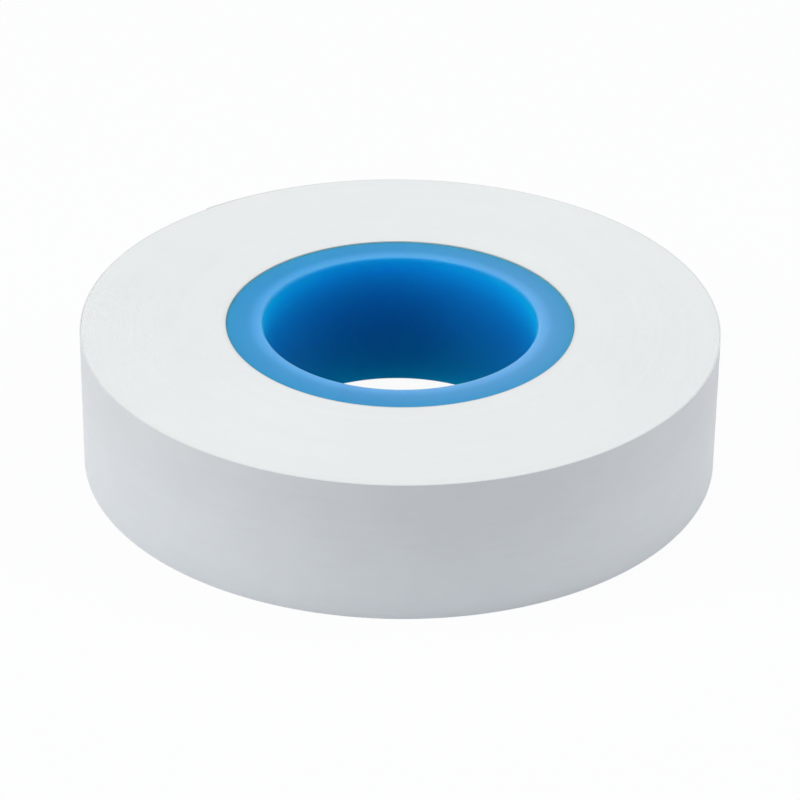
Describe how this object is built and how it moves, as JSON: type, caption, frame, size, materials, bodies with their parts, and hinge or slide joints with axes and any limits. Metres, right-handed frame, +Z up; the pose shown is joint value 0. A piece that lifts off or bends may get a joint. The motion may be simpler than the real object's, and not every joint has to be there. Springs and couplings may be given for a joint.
{
  "type": "roll of electrical tape",
  "caption": "Flat roll of white adhesive insulating tape wound on a blue moulded core with a round bore, its free end peeling off at the back.",
  "frame": {"origin": "where the axis of the bore meets the plane that the roll rests on", "axes": "+Z up along the axis of the bore; the free end is on the +Y side"},
  "size_m": [0.0827, 0.0828, 0.019],
  "materials": {
    "core_plastic": "satin",
    "tape_film": "satin",
    "adhesive": "gloss"
  },
  "bodies": {
    "roll": {"core": "core_plastic", "core_bond": "adhesive", "wound_tape": "tape_film", "outer_turn": "tape_film", "outer_turn_adhesive": "adhesive"},
    "free_end": {"free_end": "tape_film", "free_end_adhesive": "adhesive"}
  },
  "joints": [
    {"name": "free_end_peel", "type": "hinge", "parent": "roll", "child": "free_end", "pos_m": [-0.00403, 0.04138, 0.0095], "axis": [0, 0, -1], "range_deg": [0, 170]}
  ]
}
